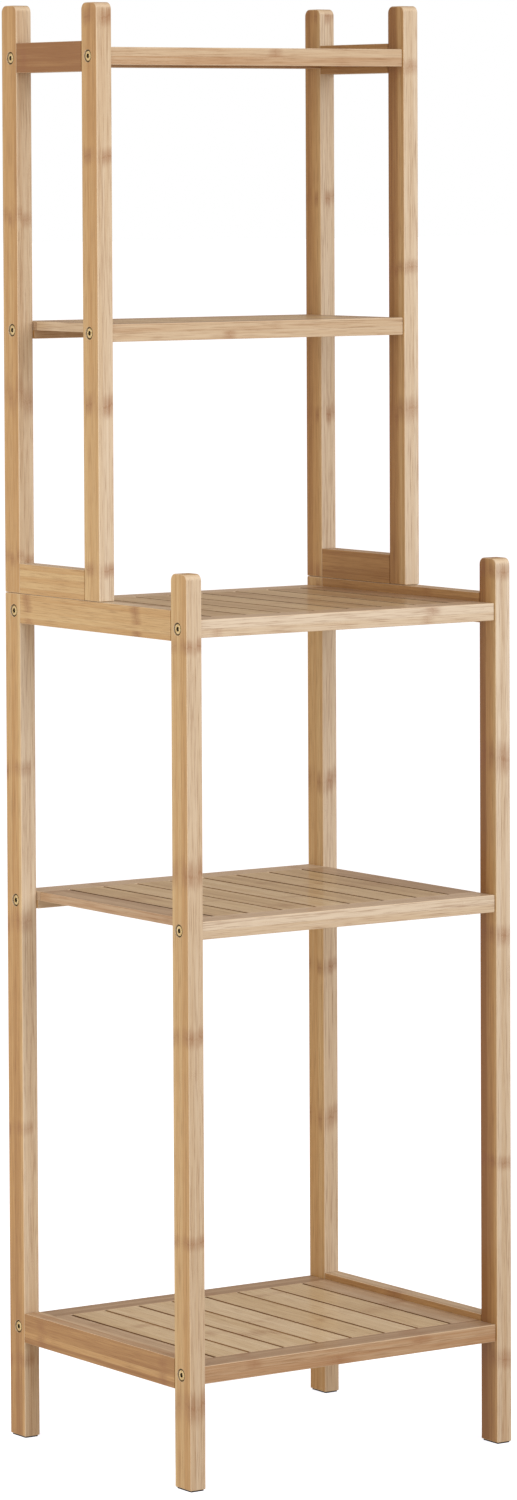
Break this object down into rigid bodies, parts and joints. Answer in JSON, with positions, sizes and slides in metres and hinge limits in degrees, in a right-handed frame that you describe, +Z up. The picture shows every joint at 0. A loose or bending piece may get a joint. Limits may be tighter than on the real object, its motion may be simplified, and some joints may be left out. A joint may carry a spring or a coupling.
{
  "type": "storage rack",
  "caption": "Tall narrow slatted bamboo shelf tower: deep lower frames carry a shallower upper unit, with bolted shelves between round-topped posts.",
  "frame": {"origin": "on the floor, under the middle of the lower frames", "axes": "+X to the right across the width, +Y to the back, +Z up"},
  "size_m": [0.436, 0.368, 1.62],
  "materials": {
    "post_bamboo": "clear satin lacquer over vertical-grain laminated bamboo",
    "side_rail_bamboo": "clear satin lacquer over laminated bamboo",
    "deck_bamboo": "clear satin lacquer over laminated bamboo slats",
    "bearer_bamboo": "clear satin lacquer over laminated bamboo",
    "dowel_wood": "bare",
    "bolt_brass": "antique plated",
    "foot_pad": "matte"
  },
  "bodies": {
    "root": {"lower_left_front_post": "post_bamboo", "lower_left_rear_post": "post_bamboo", "lower_left_top_rail": "side_rail_bamboo", "lower_left_bottom_rail": "side_rail_bamboo", "upper_left_front_post": "post_bamboo", "upper_left_rear_post": "post_bamboo", "upper_left_top_rail": "side_rail_bamboo", "upper_left_bottom_rail": "side_rail_bamboo", "left_front_dowel": "dowel_wood", "left_front_foot_pad": "foot_pad", "left_rear_dowel": "dowel_wood", "left_rear_foot_pad": "foot_pad", "lower_right_front_post": "post_bamboo", "lower_right_rear_post": "post_bamboo", "lower_right_top_rail": "side_rail_bamboo", "lower_right_bottom_rail": "side_rail_bamboo", "upper_right_front_post": "post_bamboo", "upper_right_rear_post": "post_bamboo", "upper_right_top_rail": "side_rail_bamboo", "upper_right_bottom_rail": "side_rail_bamboo", "right_front_dowel": "dowel_wood", "right_front_foot_pad": "foot_pad", "right_rear_dowel": "dowel_wood", "right_rear_foot_pad": "foot_pad", "shelf_1_deck": "deck_bamboo", "shelf_1_front_bearer": "bearer_bamboo", "shelf_1_left_front_bolt": "bolt_brass", "shelf_1_right_front_bolt": "bolt_brass", "shelf_1_rear_bearer": "bearer_bamboo", "shelf_1_left_rear_bolt": "bolt_brass", "shelf_1_right_rear_bolt": "bolt_brass", "shelf_2_deck": "deck_bamboo", "shelf_2_front_bearer": "bearer_bamboo", "shelf_2_left_front_bolt": "bolt_brass", "shelf_2_right_front_bolt": "bolt_brass", "shelf_2_rear_bearer": "bearer_bamboo", "shelf_2_left_rear_bolt": "bolt_brass", "shelf_2_right_rear_bolt": "bolt_brass", "shelf_3_deck": "deck_bamboo", "shelf_3_front_bearer": "bearer_bamboo", "shelf_3_left_front_bolt": "bolt_brass", "shelf_3_right_front_bolt": "bolt_brass", "shelf_3_rear_bearer": "bearer_bamboo", "shelf_3_left_rear_bolt": "bolt_brass", "shelf_3_right_rear_bolt": "bolt_brass", "shelf_4_deck": "deck_bamboo", "shelf_4_front_bearer": "bearer_bamboo", "shelf_4_left_front_bolt": "bolt_brass", "shelf_4_right_front_bolt": "bolt_brass", "shelf_4_rear_bearer": "bearer_bamboo", "shelf_4_left_rear_bolt": "bolt_brass", "shelf_4_right_rear_bolt": "bolt_brass", "shelf_5_deck": "deck_bamboo", "shelf_5_front_bearer": "bearer_bamboo", "shelf_5_left_front_bolt": "bolt_brass", "shelf_5_right_front_bolt": "bolt_brass", "shelf_5_rear_bearer": "bearer_bamboo", "shelf_5_left_rear_bolt": "bolt_brass", "shelf_5_right_rear_bolt": "bolt_brass"}
  },
  "joints": []
}
